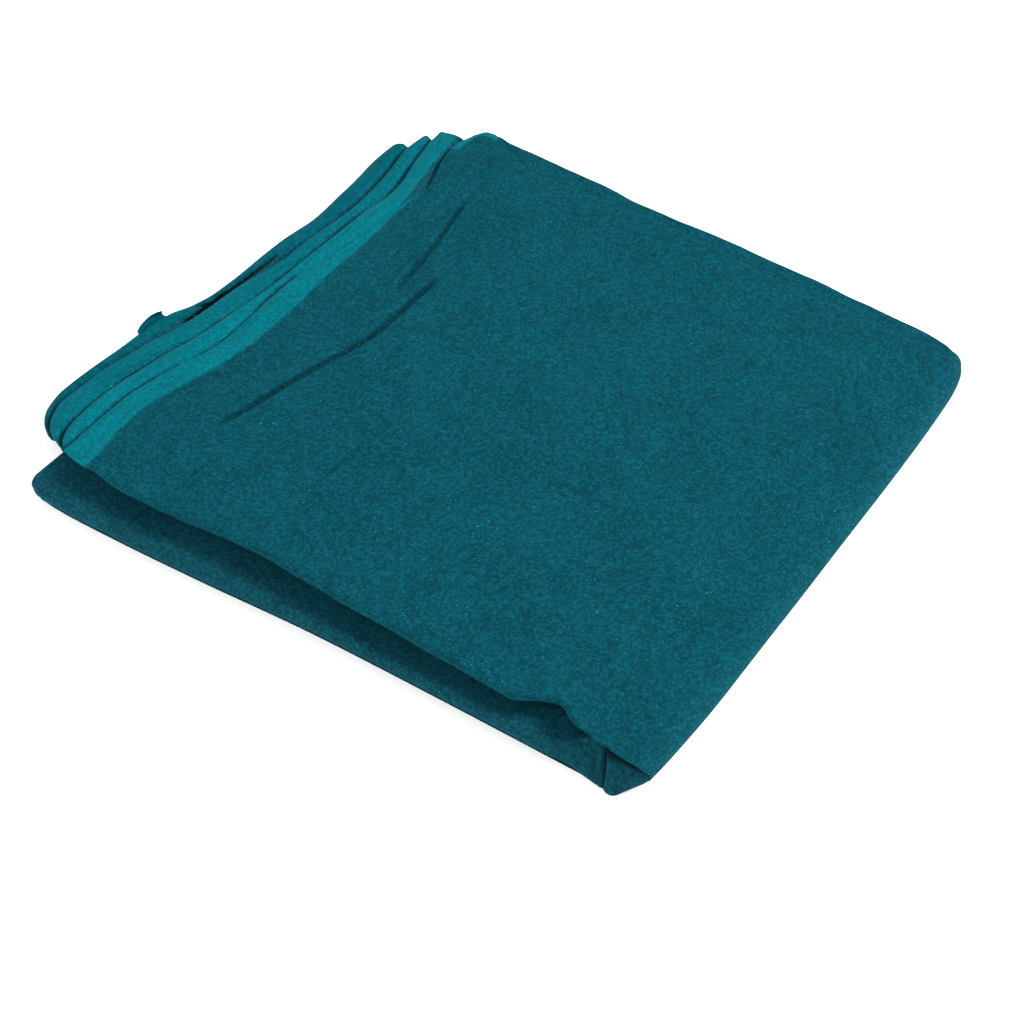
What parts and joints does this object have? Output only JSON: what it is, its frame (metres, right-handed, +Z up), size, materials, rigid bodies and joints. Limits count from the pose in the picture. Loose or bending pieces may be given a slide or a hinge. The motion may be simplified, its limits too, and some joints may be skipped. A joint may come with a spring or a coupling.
{
  "type": "folded turban cloth",
  "caption": "Long length of thin cotton voile for winding a turban, folded flat into a near-square pack with its light woven edges fanned along one side.",
  "frame": {"origin": "middle of the folded pack's outline, on the surface that it rests on", "axes": "+X across the folded width towards the spine fold, -X towards the fanned woven edges; +Y along the woven edges towards the back; +Z up, through the pack's thickness"},
  "size_m": [0.3239, 0.2959, 0.021],
  "materials": {
    "voile_body": "matte",
    "voile_selvedge": "matte",
    "voile_shaded": "matte"
  },
  "bodies": {
    "root": {"back_ply": "voile_body", "corner_tuck": "voile_shaded", "curl_tab": "voile_selvedge", "edge_ply_2": "voile_selvedge", "edge_ply_3": "voile_selvedge", "edge_ply_4": "voile_selvedge", "folded_core": "voile_shaded", "lower_ply": "voile_shaded", "outer_ply": "voile_body"}
  },
  "joints": []
}
